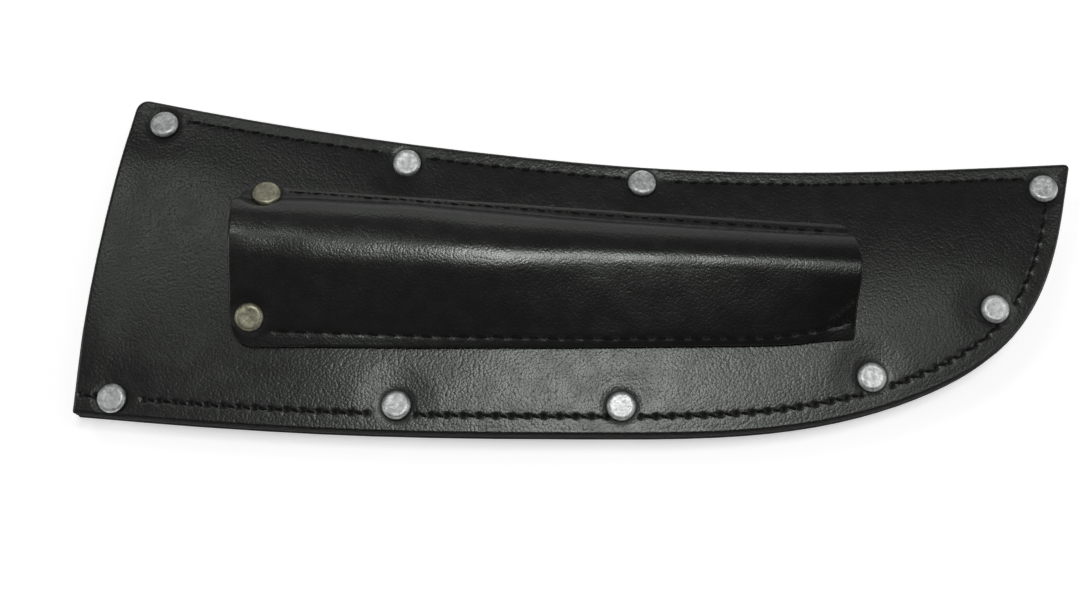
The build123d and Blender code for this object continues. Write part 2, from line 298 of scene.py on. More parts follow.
def grain_leather(name, dark, light, rough, grain=0.75, depth=0.045, shine=0.5, wear=None):
    """Finished black leather: pebbled grain with fine creases, an uneven soft gloss, and seams,
    holes and rings round rivet heads that are duller and painted darker, as painted shade with some
    wax and grime in the seams. dark and light are its two blacks, grain is a pebble's size and
    depth its relief in millimetres. wear is where along X, in metres, handling starts to take its
    gloss and has taken it."""
    n = Nodes(name)
    cells = {"Vector": n.shaken(0.6, 0.22), "Scale": 1 / (grain * MM)}
    reach = n.node("ShaderNodeTexVoronoi", cells).outputs["Distance"]
    pebbles = n.maths("MULTIPLY", n.maths("MULTIPLY", reach, reach), -1.0)
    pores = n.noise(0.3, 2.0)
    creases = n.noise(1.6, 2.0)
    patches = n.noise(26.0, 3.0)
    height = n.maths("ADD", pebbles, n.maths("MULTIPLY", pores, 0.2))
    normal = n.bump(creases, depth * 0.45, n.bump(height, depth))
    pressed = n.node("ShaderNodeAttribute", attribute_name="pressed").outputs["Fac"]
    dark_black = shade(dark, (1.0, 1.06, 0.98))
    light_black = shade(light, (1.0, 1.03, 0.99))
    colour = n.mix(n.spread(patches, 0.35, 0.65), dark_black, light_black)
    # The pressed attribute darkens the colour in seams, holes, round rivet heads and along the
    # pocket's upper foot: painted shade, partly wax and grime in the seams
    seam_shade_and_grime = n.mix(pressed, colour, shade(0.0015))
    handled = n.spread(n.noise(5.0, 4.0), 0.4, 0.75, rough - 0.02, rough + 0.04)
    dull = n.maths("ADD", handled, n.maths("MULTIPLY", pressed, 0.35))
    if wear is not None:
        along = n.node("ShaderNodeSeparateXYZ", {"Vector": n.place}).outputs["X"]
        pressed = n.maths("MAXIMUM", pressed, n.spread(along, wear[0], wear[1], 0.0, 0.55))
    gloss = n.spread(pressed, 0.0, 1.0, shine, 0.08)
    return n.finish(
        Base_Color=seam_shade_and_grime,
        Roughness=dull,
        Normal=normal,
        Specular_IOR_Level=gloss,
        Specular_Tint=shade(1.0, (0.95, 1.0, 0.94)),
    )


def flesh_leather(name):
    """The inside of the hide: matt, fibrous and dyed unevenly."""
    n = Nodes(name)
    fibres = n.noise(0.5, 6.0, n.shaken(3.0, 3.0), 0.7)
    nap = n.noise(0.12, 3.0)
    colour = n.mix(n.spread(fibres, 0.35, 0.68), shade(0.012), shade(0.05, (1.0, 0.93, 0.85)))
    normal = n.bump(n.maths("ADD", fibres, nap), 0.22)
    return n.finish(Base_Color=colour, Roughness=0.93, Normal=normal, Specular_IOR_Level=0.25)


def cut_leather(name):
    """A cut edge, dyed and rubbed until its fibres lie down in faint lines."""
    n = Nodes(name)
    squeezed = n.node("ShaderNodeMapping", {"Vector": n.place, "Scale": (1.0, 1.0, 7.0)}).outputs[0]
    layers = n.noise(1.6, 5.0, squeezed, 0.65)
    specks = n.noise(0.25, 3.0)
    colour = n.mix(n.spread(layers, 0.35, 0.7), shade(0.005), shade(0.018, (1.0, 0.95, 0.9)))
    normal = n.bump(n.maths("ADD", layers, n.maths("MULTIPLY", specks, 0.5)), 0.12)
    rough = n.spread(specks, 0.3, 0.7, 0.7, 0.9)
    return n.finish(Base_Color=colour, Roughness=rough, Normal=normal, Specular_IOR_Level=0.15)


def waxed_thread(name):
    """Black cord, dulled by wax, with its fibres just showing."""
    n = Nodes(name)
    fibres = n.noise(0.14, 3.0)
    colour = n.mix(n.spread(fibres, 0.3, 0.7), shade(0.002), shade(0.006))
    return n.finish(
        Base_Color=colour,
        Roughness=n.spread(fibres, 0.3, 0.7, 0.65, 0.85),
        Normal=n.bump(fibres, 0.05),
        Specular_IOR_Level=0.15,
    )


def dull_metal(name, bright, dark, rough):
    """Soft metal with hammered unevenness, faint scratches and a patchy dull skin."""
    n = Nodes(name)
    skin = n.noise(1.3, 5.0, rough=0.7)
    stretched = n.node("ShaderNodeMapping", {
        "Vector": n.place,
        "Scale": (1.0, 9.0, 1.0),
        "Rotation": (0.0, 0.0, 0.6),
    }).outputs[0]
    scratches = n.noise(1.2, 6.0, stretched, 0.75)
    colour = n.mix(n.spread(skin, 0.36, 0.66), dark, bright)
    height = n.maths("ADD", skin, n.maths("MULTIPLY", scratches, 0.6))
    return n.finish(
        Base_Color=colour,
        Metallic=1.0,
        Normal=n.bump(height, 0.035),
        Roughness=n.spread(scratches, 0.35, 0.65, rough - 0.1, rough + 0.12),
    )


PANEL = grain_leather("panel_grain", dark=0.0055, light=0.0075, rough=0.31, depth=0.044)
POCKET = grain_leather(
    "pocket_grain", dark=0.0035, light=0.004, rough=0.29,
    grain=0.65, depth=0.036, shine=0.82, wear=(-0.05, 0.085),
)
STRAP = grain_leather("strap_grain", dark=0.006, light=0.009, rough=0.36)
FLESH = flesh_leather("leather_flesh")
CUT = cut_leather("leather_cut_edge")
THREAD = waxed_thread("black_thread")
SILVER = dull_metal(
    "rivet_silver",
    bright=shade(0.74, (0.98, 1.0, 1.0)),
    dark=shade(0.38, (0.97, 1.0, 0.99)),
    rough=0.5,
)
BRASS = dull_metal(
    "rivet_brass",
    bright=shade(0.48, (1.0, 0.97, 0.74)),
    dark=shade(0.24, (1.0, 0.95, 0.66)),
    rough=0.46,
)


# ------------------------------ places, all from the frame
back_low, back_high = corners("back_panel")
flange_level = corners("front_panel")[0][2] + PANEL_SKIN
crown_level = corners("front_panel")[1][2]
outline = resampled(rim_of("back_panel", back_high[2]), 0.5, soften=1)



def rivets_called(start):
    """The rivet nodes whose names start so, without their caps."""
    return [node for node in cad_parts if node.startswith(start) and "cap" not in node]


EDGE_RIVETS = rivets_called("edge_rivet_")
POCKET_RIVETS = rivets_called("pocket_rivet_")
LOOP_RIVETS = rivets_called("loop_rivet_")
edge_rivets = np.array([middle(node)[:2] for node in EDGE_RIVETS])
pocket_rivets = np.array([middle(node)[:2] for node in POCKET_RIVETS])
loop_rivets = np.array([middle(node)[:2] for node in LOOP_RIVETS])
HEAD_R = (corners(EDGE_RIVETS[0])[1] - corners(EDGE_RIVETS[0])[0])[0] / 2

edge_seams = {node: stitches_of(node) for node in ("spine_thread", "belly_thread")}
pocket_seams = {
    "pocket_upper_thread": stitches_of("pocket_upper_thread", np.array([0, 1])),
    "pocket_lower_thread": stitches_of("pocket_lower_thread", np.array([0, -1])),
}
loop_seams = {
    node: stitches_of(node, np.array([1, 0]))
    for node in ("loop_upper_thread", "loop_lower_thread")
}

lower_seam = np.array([centre for centre, _, _ in pocket_seams["pocket_lower_thread"]])
lower_seam = lower_seam[np.argsort(lower_seam[:, 0])]
# The lower seam ends in a back-tack: upright stitches side by side, shorter away from the end
TACK_STITCHES = 5
TACK_PITCH = 1.25
TACK_PAST_SEAM = 3.3
TACK_OVER_SEAM = 1.5
TACK_HALF = 2.7
TACK_SHORTER = 0.38
TACK_WAY = np.array([0.1, 0.995])
for count in range(TACK_STITCHES):
    tack_half = TACK_HALF - TACK_SHORTER * count
    tack_x = TACK_PAST_SEAM - TACK_PITCH * count
    tack_y = TACK_OVER_SEAM + 0.7 * tack_half - 0.4 * count
    place = lower_seam[-1] + np.array([tack_x, tack_y])
    pocket_seams["pocket_lower_thread"].append((place, TACK_WAY, tack_half))


def seam_points(seams):
    """Points along the stitches of some seams, and the places of their holes."""
    lines, holes = [], []
    for stitches in seams.values():
        for centre, way, half in stitches:
            lines += [centre + way * half * t for t in np.linspace(-1, 1, 31)]
            holes += [centre - way * half, centre + way * half]
    return np.array(lines), np.array(holes)


edge_lines, edge_holes = seam_points(edge_seams)
pocket_lines, pocket_holes = seam_points(pocket_seams)
loop_lines, loop_holes = seam_points(loop_seams)

# The mouth runs from the lowest X round to the highest Y; the rest of the outline is sewn.
mouth_first = int(np.argmax(outline[:, 1]))
turned = np.roll(outline, -mouth_first, axis=0)
mouth_last = int(np.argmin(turned[:, 0]))
mouth_points = turned[: mouth_last + 1]
sewn_points = turned[mouth_last:]


def dense(points):
    """An open run of points filled in more closely."""
    along = np.concatenate([[0], np.cumsum(np.linalg.norm(np.diff(points, axis=0), axis=1))])
    at = np.arange(0, along[-1], DENSE_STEP)
    return np.stack([np.interp(at, along, points[:, k]) for k in range(2)], axis=1)


outline_dense = dense(np.vstack([outline, outline[:1]]))
sewn_dense = dense(np.vstack([sewn_points, turned[:1]]))
mouth_dense = dense(mouth_points)
# The sewn run is the belly as far as the tip's corner, then the spine
tip_corner = int(np.argmax(sewn_dense[:, 0]))
belly_dense, spine_dense = sewn_dense[:tip_corner], sewn_dense[tip_corner:]

# ------------------------------ the front panel's surface
# The crown starts this far in from the edge, levels off this much further in, and takes up this
# share of the CAD crown's height
CROWN_FOOT = 1.2
CROWN_REACH = 44.0
CROWN_SHARE = 0.8
# Round a rivet it loses a share of its height between two distances, and its seat is pressed in
DIMPLE_IN = 3.0
DIMPLE_OUT = 14.0
DIMPLE_SHARE = 0.3
DIMPLE_DEPTH = 0.34
# It is lower by a share at the mouth, and fully up between these distances from the left end
MOUTH_SHARE = 0.3
MOUTH_FROM = 10.0
MOUTH_TO = 85.0
# The middle of the mouth's edge curls up, and so does the rim on the spine's side
LIP_RISE = 0.5
LIP_REACH = 16.0
RIM_RISE = 0.42
RIM_REACH = 4.6
UNEVEN = 0.14
# How deep the seams are pressed into the front, each as (depth, width): along a stitch, at a
# hole, round a hole, and under the pocket's seams. The spine's seam is pressed in less.
STITCH_PRESS = (0.12, 0.5)
HOLE_PRESS = (0.45, 0.55)
ROUND_HOLE_PRESS = (0.09, 1.2)
UNDER_POCKET_PRESS = (0.12, 1.2)
SPINE_EASE = 0.8


def crown_at(points):
    """The height of the front panel's face without its seams: low at the edge, raised in a long
    curve over the blade, pulled down round each rivet and open at the mouth."""
    sewn = away_from(points, sewn_dense)
    mouth = away_from(points, mouth_dense)
    rise = 1.0
    for side in (belly_dense, spine_dense):
        short = 1 - np.clip((away_from(points, side) - CROWN_FOOT) / CROWN_REACH, 0, 1)
        rise = rise * (1 - short * short)
    rivet = away_from(points, edge_rivets)
    pulled = 1 - DIMPLE_SHARE * (1 - smooth(rivet, DIMPLE_IN, DIMPLE_OUT))
    mouth_end = 1 - smooth(points[:, 0], back_low[0] + MOUTH_FROM, back_low[0] + MOUTH_TO)
    full_height = CROWN_SHARE * (crown_level - flange_level)
    height = full_height * rise * pulled * (1 - MOUTH_SHARE * mouth_end)
    lip = LIP_RISE * (1 - smooth(mouth, 0.0, LIP_REACH)) * smooth(sewn, 6.0, 24.0)
    rim = RIM_RISE * (1 - smooth(sewn, 0.0, RIM_REACH)) * smooth(points[:, 1], -10.0, 25.0)
    uneven = UNEVEN * waves(points, 55.0, 3) * smooth(sewn, 6.0, 20.0)
    seat = DIMPLE_DEPTH * (1 - smooth(rivet, 2.6, 6.6))
    return flange_level + height + lip + rim + uneven - seat


def painted_shade_and_dull_depth(points, lines, holes, rivets):
    """How deep in a seam or under and round a rivet's head points lie, from 0 to 1. The material
    paints the leather darker there, as painted shade with some wax and grime, and the ring round
    each head is a painted contact shadow.
    """
    by_line = press(away_from(points, lines), 0.3, 0.35)
    by_hole = press(away_from(points, holes), 0.85, 0.5)
    # A dark ring just round each head: painted contact shadow, with some grime
    head_shade_ring = press(np.maximum(away_from(points, rivets) - HEAD_R, 0), 0.7, 0.8)
    return np.clip(by_line + by_hole + head_shade_ring, 0, 1)


def front_face(points):
    """crown_at with the seams pressed in."""
    seam = away_from(points, edge_lines)
    hole = away_from(points, edge_holes)
    pocket_seam = away_from(points, pocket_lines)
    pressed = press(seam, *STITCH_PRESS) + press(hole, *HOLE_PRESS) + press(hole, *ROUND_HOLE_PRESS)
    pressed *= 1 - SPINE_EASE * smooth(points[:, 1], 0.0, 20.0)
    return crown_at(points) - pressed - press(pocket_seam, *UNDER_POCKET_PRESS)


def back_face(points):
    """The outer face of the back panel, which faces down, with its seams pressed in."""
    seam = away_from(points, np.vstack([edge_lines, loop_lines]))
    hole = away_from(points, np.vstack([edge_holes, loop_holes]))
    rivet = away_from(points, edge_rivets)
    pressed = press(seam, 0.15, 0.7) + press(hole, 0.35, 0.55) + press(rivet, 0.2, 5.5)
    return back_low[2] + pressed + 0.1 * waves(points, 50.0, 8)


# ------------------------------ flat-cut pieces of leather
def inward(loop):
    """The way in from each point of a loop, square to it."""
    along = np.roll(loop, -1, axis=0) - np.roll(loop, 1, axis=0)
    along /= np.linalg.norm(along, axis=1, keepdims=True)
    return np.stack([-along[:, 1], along[:, 0]], axis=1)


def layered(loop, distances, grid_step):
    """Points inside a loop: rows that follow its edge, then an even grid."""
    rows = []
    normal = inward(loop)
    edge = dense(np.vstack([loop, loop[:1]]))
    for distance in distances:
        row = loop + normal * distance
        rows.append(row[away_from(row, edge) > distance - 0.05])
    low, high = loop.min(axis=0), loop.max(axis=0)
    xs = np.arange(low[0], high[0], grid_step)
    ys = np.arange(low[1], high[1], grid_step * 0.866)
    grid = np.array([(x + (row % 2) * grid_step / 2, y) for row, y in enumerate(ys) for x in xs])
    spare = away_from(grid, edge) > distances[-1] + grid_step * 0.7
    return np.vstack(rows + [grid[spare]])


def triangulated(loop, inner):
    """The faces over a loop and points inside it. The loop's points come first."""
    points = [Vector(p) for p in np.vstack([loop, inner])]
    ring = [(k, (k + 1) % len(loop)) for k in range(len(loop))]
    _, _, faces, sources, _, _ = delaunay_2d_cdt(points, ring, [], 1, 1e-7)
    back = [source[0] if source else -1 for source in sources]
    faces = np.array([[back[v] for v in face] for face in faces])
    placed = np.vstack([loop, inner])
    return placed, faces[(faces >= 0).all(axis=1)]


def cut_sheet(name, loop, inners, top_height, bottom_height, edge_r, materials, node, seams):
    """Makes a flat piece cut to a loop. inners are the points inside its top and its bottom
    face, materials are for its top, its bottom and its cut edge, and seams are for painted_shade_and_dull_depth."""
    top_flat, top_faces = triangulated(loop, inners[0])
    bottom_flat, bottom_faces = triangulated(loop, inners[1])
    count = len(loop)
    edge = dense(np.vstack([loop, loop[:1]]))
    top_in = np.concatenate([np.zeros(count), away_from(inners[0], edge)])
    bottom_in = np.concatenate([np.zeros(count), away_from(inners[1], edge)])
    top_z = top_height(top_flat) - edge_drop(top_in, edge_r)
    bottom_z = bottom_height(bottom_flat) + edge_drop(bottom_in, edge_r)
    top = np.column_stack([top_flat, top_z])
    bottom = np.column_stack([bottom_flat, bottom_z])
    points = np.vstack([top, bottom])
    shift = len(top)
    ring = [(k, (k + 1) % count) for k in range(count)]
    wall = [(a, a + shift, b + shift, b) for a, b in ring]
    faces = [*top_faces.tolist(), *(bottom_faces[:, ::-1] + shift).tolist(), *wall]
    top_slots = np.where(top_in[top_faces].max(axis=1) < edge_r * 0.3, 2, 0)
    bottom_slots = np.where(bottom_in[bottom_faces].max(axis=1) < edge_r * 0.7, 2, 1)
    slots = np.concatenate([top_slots, bottom_slots, np.full(count, 2)])
    pressed = painted_shade_and_dull_depth(points, *seams)
    make_piece(name, points, faces, materials, slots, [node], pressed)


# Rows of points round the rounded edge and over the seam, and an even grid inside them
edge_rows = [0.1, 0.25, 0.45, 0.7, 0.95, 1.3, 1.8, 2.4]
seam_rows = list(np.arange(2.9, 7.6, 0.36)) + [8.1, 8.8]
fine_points = layered(outline, edge_rows + seam_rows, 0.85)
coarse_points = layered(outline, [0.25, 0.6, 1.1, 2.0, 3.5], 2.6)
front_seams = (edge_lines, edge_holes, edge_rivets)
back_lines = np.vstack([edge_lines, loop_lines])
back_holes = np.vstack([edge_holes, loop_holes])
back_seams = (back_lines, back_holes, edge_rivets)

cut_sheet(
    "front_leather",
    outline,
    inners=(fine_points, coarse_points),
    top_height=front_face,
    bottom_height=lambda points: crown_at(points) - PANEL_SKIN,
    edge_r=FRONT_EDGE_R,
    materials=[PANEL, FLESH, CUT],
    node="front_panel",
    seams=front_seams,
)
cut_sheet(
    "back_leather",
    outline,
    inners=(coarse_points, fine_points),
    top_height=level(back_high[2]),
    bottom_height=back_face,
    edge_r=BACK_EDGE_R,
    materials=[FLESH, PANEL, CUT],
    node="back_panel",
    seams=back_seams,
)

# The welts: only their cut edges show, a little back from the edges of the two panels
for node, seed in (("spine_welt", 21), ("belly_welt", 22)):
    low, high = corners(node)
    strip = resampled(rim_of(node, high[2]), 0.6)
    strip = strip + inward(strip) * (0.14 + 0.06 * waves(strip, 9.0, seed))[:, None]
    strip_points = layered(strip, [0.2, 0.5, 0.9, 1.8], 2.4)
    cut_sheet(
        node + "_leather",
        strip,
        inners=(strip_points, strip_points),
        top_height=level(high[2]),
        bottom_height=level(low[2]),
        edge_r=WELT_EDGE_R,
        materials=[CUT, CUT, CUT],
        node=node,
        seams=front_seams,
    )


# ------------------------------ formed pieces of leather
def between(one, other, t, start, end):
    """one where t is start, other where it is end, and evenly between them."""
    return one + (other - one) * (t - start) / (end - start)


def eased(points, count_per_span=12):
    """A smooth line through control points, by a centripetal Catmull-Rom spline."""
    points = np.array(points, float)
    padded = np.vstack([2 * points[0] - points[1], points, 2 * points[-1] - points[-2]])
    out = []
    for k in range(1, len(padded) - 2):
        p = padded[k - 1 : k + 3]
        knots = np.concatenate([[0], np.cumsum(np.linalg.norm(np.diff(p, axis=0), axis=1) ** 0.5)])
        for t in np.linspace(knots[1], knots[2], count_per_span, endpoint=False):
            a = [between(p[i], p[i + 1], t, knots[i], knots[i + 1]) for i in range(3)]
            b = [between(a[i], a[i + 1], t, knots[i], knots[i + 2]) for i in range(2)]
            out.append(between(b[0], b[1], t, knots[1], knots[2]))
    return np.array(out + [points[-1]])


def grid_sheet(name, face, skin, edge_r, materials, node, seams, rest=None, dulled_and_shaded=None):
    """Makes a piece of leather on a grid: face is its outer surface, rows by columns by 3.
    materials are for its outer side, its inner side and its cut edge. Its inner side stays over
    rest, and the last argument gives how far it is made duller and painted darker, as painted
    shade, at some points."""
    rows, columns = face.shape[:2]
    across = np.gradient(face, axis=0)
    along = np.gradient(face, axis=1)
    normal = np.cross(across, along)
    normal /= np.linalg.norm(normal, axis=2, keepdims=True)
    row_gaps = np.linalg.norm(np.diff(face, axis=0), axis=2)
    column_gaps = np.linalg.norm(np.diff(face, axis=1), axis=2)
    run = np.concatenate([np.zeros((1, columns)), np.cumsum(row_gaps, axis=0)])
    reach = np.concatenate([np.zeros((rows, 1)), np.cumsum(column_gaps, axis=1)], axis=1)
    inside = np.minimum(np.minimum(run, run[-1] - run), np.minimum(reach, reach[:, -1:] - reach))
    drop = edge_drop(inside, edge_r)[:, :, None]
    outer = face - normal * drop
    inner = face - normal * (skin - drop)
    if rest is not None:
        under = rest(inner[:, :, :2].reshape(-1, 2)).reshape(rows, columns)
        inner[:, :, 2] = np.maximum(inner[:, :, 2], under)
    index = np.arange(rows * columns).reshape(rows, columns)
    shift = rows * columns
    quads = [index[:-1, :-1], index[1:, :-1], index[1:, 1:], index[:-1, 1:]]
    quads = np.stack(quads, axis=-1).reshape(-1, 4)
    ring = [*index[0, :-1], *index[:-1, -1], *index[-1, :0:-1], *index[:0:-1, 0]]
    wall = [(a, b, b + shift, a + shift) for a, b in zip(ring, ring[1:] + ring[:1])]
    edge = inside.reshape(-1)[quads].max(axis=1) < edge_r * 0.7
    slots = np.concatenate([np.where(edge, 2, 0), np.where(edge, 2, 1), np.full(len(wall), 2)])
    points = np.vstack([outer.reshape(-1, 3), inner.reshape(-1, 3)])
    faces = [*quads.tolist(), *(quads[:, ::-1] + shift).tolist(), *wall]
    pressed = painted_shade_and_dull_depth(points, *seams)
    # Some points are also made duller and painted darker here: painted shade
    if dulled_and_shaded is not None:
        pressed = np.maximum(pressed, dulled_and_shaded(points))
    make_piece(name, points, faces, materials, slots, [node], pressed)


# The steps that crowd at the ends of a formed piece's grid
END_STEPS = (0.0, 0.12, 0.3, 0.55, 0.9, 1.4, 2.0)


def crowded(length, step):
    """Steps from 0 to length that crowd at both ends, as shares of the length."""
    count = round((length - 2 * END_STEPS[-1]) / step)
    inner = np.linspace(END_STEPS[-1], length - END_STEPS[-1], count)
    ends = END_STEPS[:-1]
    return np.concatenate([ends, inner, length - np.array(ends)[::-1]]) / length


# The pocket's sleeve at shares of its length: the middle of its upper foot, and its crest, in Y
SLEEVE_SHARES = [0.0, 0.12, 0.27, 0.43, 0.60, 0.75, 0.9, 1.0]
SLEEVE_FOOT = [17.5, 17.0, 15.6, 13.0, 10.4, 8.6, 7.0, 6.2]
SLEEVE_CREST = [2.6, 1.2, -0.2, -1.7, -2.1, -2.6, -3.9, -4.7]
# Its upper side at its widest: (run down from the foot's middle, rise), then its crest
UPPER_SIDE = [
    (-1.6, 0.05), (-0.9, 0.25), (-0.3, 0.95), (0.2, 2.3), (0.8, 4.1), (1.6, 5.9), (2.6, 7.2),
]
CREST = [
    (3.8, 8.05), (5.4, 8.75), (7.0, 9.2), (8.6, 9.52), (10.3, 9.77), (12.0, 9.88),
    (13.6, 9.74), (15.4, 9.32), (17.2, 8.7),
]
# The run from the foot to the crest there, and the share of the rise that is used
CREST_RUN = 13.6
RISE = 0.95
# The grid: a section's points are for this length at this spacing, and its columns' spacing
SECTION_LENGTH = 62.0
SECTION_STEP = 0.55
COLUMN_STEP = 0.8
# The pocket's left corners are rounded. Its upper edge runs down to this Y at its right end.
POCKET_CORNER_R = 6.5
TAB_EDGE = 10.4
# The shares of its length where its left corners end and where its right end starts
LEFT_END = 0.12
RIGHT_END = 0.86
# The gap that is left between the pocket and the front panel
POCKET_GAP = 0.03
# How the two rivets of the pocket tip, about X
POCKET_TIPS = (-18.0, 19.0)


def sleeve_section(share, top_edge, low_edge, seam):
    """The pocket's outer section there as (y, height over the front panel), from spine to belly."""
    foot = np.interp(share, SLEEVE_SHARES, SLEEVE_FOOT)
    crest = np.interp(share, SLEEVE_SHARES, SLEEVE_CREST)
    skin = POCKET_SKIN
    squeeze = (foot - crest) / CREST_RUN
    rise_here = RISE * squeeze**0.7
    flange = top_edge - (foot - UPPER_SIDE[0][0])
    section = [
        (top_edge, skin - 0.9),
        (top_edge - 0.35 * flange, skin - 0.35),
        (top_edge - 0.75 * flange, skin - 0.05),
    ]
    section += [(foot - squeeze * run, skin + rise_here * rise) for run, rise in UPPER_SIDE + CREST]
    last, height = section[-1]
    for t in (0.33, 0.66, 0.93):
        section.append((last + (seam - last) * t, height + (skin + 0.75 - height) * t))
    section += [
        (seam - 0.4, skin + 0.6),
        ((seam + low_edge) / 2, skin + 0.15),
        (low_edge, skin - 0.4),
    ]
    return eased(section)


def resection(section, shares):
    """A section with its points at shares of its length."""
    along = np.concatenate([[0], np.cumsum(np.linalg.norm(np.diff(section, axis=0), axis=1))])
    at = np.asarray(shares) * along[-1]
    return np.stack([np.interp(at, along, section[:, k]) for k in range(2)], axis=1)


def pocket_face():
    """The pocket's outer surface, section after section, laid on the front panel."""
    low, high = corners("pocket")
    length = high[0] - low[0]
    shares = crowded(SECTION_LENGTH, SECTION_STEP)
    steps = crowded(length, COLUMN_STEP)
    face = np.zeros((len(shares), len(steps), 3))
    for column, step in enumerate(steps):
        x = low[0] + length * step
        seam = np.interp(x, lower_seam[:, 0], lower_seam[:, 1])
        top_edge = high[1] + (TAB_EDGE - high[1]) * step
        bow = 0.9 * (abs(step - 0.42) / 0.5) ** 2
        low_edge = low[1] + bow + 1.4 * smooth(step, RIGHT_END, 1.0)
        section = resection(sleeve_section(step, top_edge, low_edge, seam), shares)
        face[:, column, 1:] = section
        face[:, column, 0] = x
    # Its ends: rounded corners at the left, cut-off ones at the right, and longer at the crest
    from_top = face[0:1, :, 1] - face[:, :, 1]
    from_low = face[:, :, 1] - face[-1:, :, 1]
    inset = edge_drop(np.minimum(from_top, from_low), POCKET_CORNER_R)
    tab = 0.62 * edge_drop(from_top, 4.4) + 0.4 * edge_drop(from_low, 1.8)
    end = 1.5 * bell(face[:, :, 1] - SLEEVE_CREST[-1], 7.5)
    across = np.array(steps)[None, :]
    left_end = inset * (1 - smooth(across, 0.0, LEFT_END))
    right_end = (end - tab) * smooth(across, RIGHT_END, 1.0)
    face[:, :, 0] += left_end + right_end
    flat = face[:, :, :2].reshape(-1, 2)
    shape = face.shape[:2]
    raised = face[:, :, 2] - POCKET_SKIN
    # Its left mouth flares, and the leather lies at the heads' slope round its two rivets
    raised *= 1 + 0.06 * (1 - smooth(across, 0.0, 0.10))
    for place, tip in zip(pocket_rivets, POCKET_TIPS):
        reach = np.linalg.norm(face[:, :, :2] - place, axis=2)
        slope = (face[:, :, 1] - place[1]) * math.tan(math.radians(tip))
        seat = raised.flat[np.argmin(reach)] + slope
        blend = smooth(reach, 3.4, 7.5)
        raised = seat * (1 - blend) + raised * blend - 0.25 * (1 - smooth(reach, 2.6, 6.0))
    seam = away_from(flat, pocket_lines).reshape(shape)
    hole = away_from(flat, pocket_holes).reshape(shape)
    on_sleeve = smooth(raised, 0.4, 2.0)
    faint = 1 - 0.6 * smooth(face[:, :, 1], -5.0, 5.0)
    pressed = (press(seam, 0.1, 0.7) + press(hole, 0.2, 0.55)) * faint
    uneven = waves(flat, 16.0, 5).reshape(shape) * 0.05 * on_sleeve
    uneven += waves(flat, 45.0, 6).reshape(shape) * 0.13 * on_sleeve
    base = crown_at(flat).reshape(shape)
    face[:, :, 2] = base + POCKET_SKIN + raised - pressed + uneven
    return face


def pocket_foot_shade_and_dull(points):
    """The sleeve's upper foot, the concave crease where the leather was pressed down hardest, is
    less glossy and painted darker there as shade.
    """
    low, high = corners("pocket")
    foot = np.interp((points[:, 0] - low[0]) / (high[0] - low[0]), SLEEVE_SHARES, SLEEVE_FOOT)
    return 0.5 * bell(points[:, 1] - (foot - 1.5), 4.0)


pocket = pocket_face()
grid_sheet(
    "pocket_leather",
    pocket,
    skin=POCKET_SKIN,
    edge_r=POCKET_EDGE_R,
    materials=[POCKET, FLESH, CUT],
    node="pocket",
    seams=(pocket_lines, pocket_holes, pocket_rivets),
    rest=lambda points: crown_at(points) + POCKET_GAP,
    dulled_and_shaded=pocket_foot_shade_and_dull,
)

# The belt loop's face stays this much over the floor
CLEAR = 0.08


def strap_face():
    """The belt loop's outer surface, row by row: a strap whose ends are folded under."""
    low, high = corners("belt_loop")
    half = STRAP_SKIN / 2 + CLEAR
    reach = (high[0] - low[0]) / 2
    centre = (high[0] + low[0]) / 2
    # The levels of the middle of the leather: in the folded end and in the strap over it
    hem, outer = high[2] - STRAP_SKIN / 2, high[2] - 1.5 * STRAP_SKIN
    turns = np.linspace(0, math.pi, 13)
    fold_x = reach - half
    fold_z = (hem + outer) / 2
    fold = [(fold_x + half * math.sin(a), fold_z + half * math.cos(a)) for a in turns]
    side = [(reach - 20.0, hem), (reach - 12.0, hem), *fold]
    side += [(reach - 12.0, outer), (reach - 19.0, outer)]
    side += [(reach - 22.5, outer - 0.6), (reach - 26.0, half + 0.15), (reach - 30.0, half)]
    left = [(centre - x, z) for x, z in side]
    right = [(centre + x, z) for x, z in side[::-1]]
    line = eased(left + [(centre, half)] + right, 5)
    gradient = np.gradient(line, axis=0)
    gradient /= np.linalg.norm(gradient, axis=1, keepdims=True)
    outward = np.stack([-gradient[:, 1], gradient[:, 0]], axis=1)
    skin = line - outward * STRAP_SKIN / 2
    ys = low[1] + (high[1] - low[1]) * crowded(high[1] - low[1], 1.2)
    face = np.zeros((len(ys), len(skin), 3))
    face[:, :, 0] = skin[None, :, 0]
    face[:, :, 1] = ys[:, None]
    face[:, :, 2] = skin[None, :, 1]
    return face


grid_sheet(
    "belt_loop_leather",
    strap_face(),
    skin=STRAP_SKIN,
    edge_r=STRAP_EDGE_R,
    materials=[STRAP, FLESH, CUT],
    node="belt_loop",
    seams=(loop_lines, loop_holes, loop_rivets),
)

# ------------------------------ threads
PLIES = 3
# The plies turn by this much to a millimetre
TWIST = 2.6
# The ends of a stitch lie this deep in their holes, and its middle this far over the leather
HOLE_DEPTH = -1.0
STITCH_RISE = -0.02


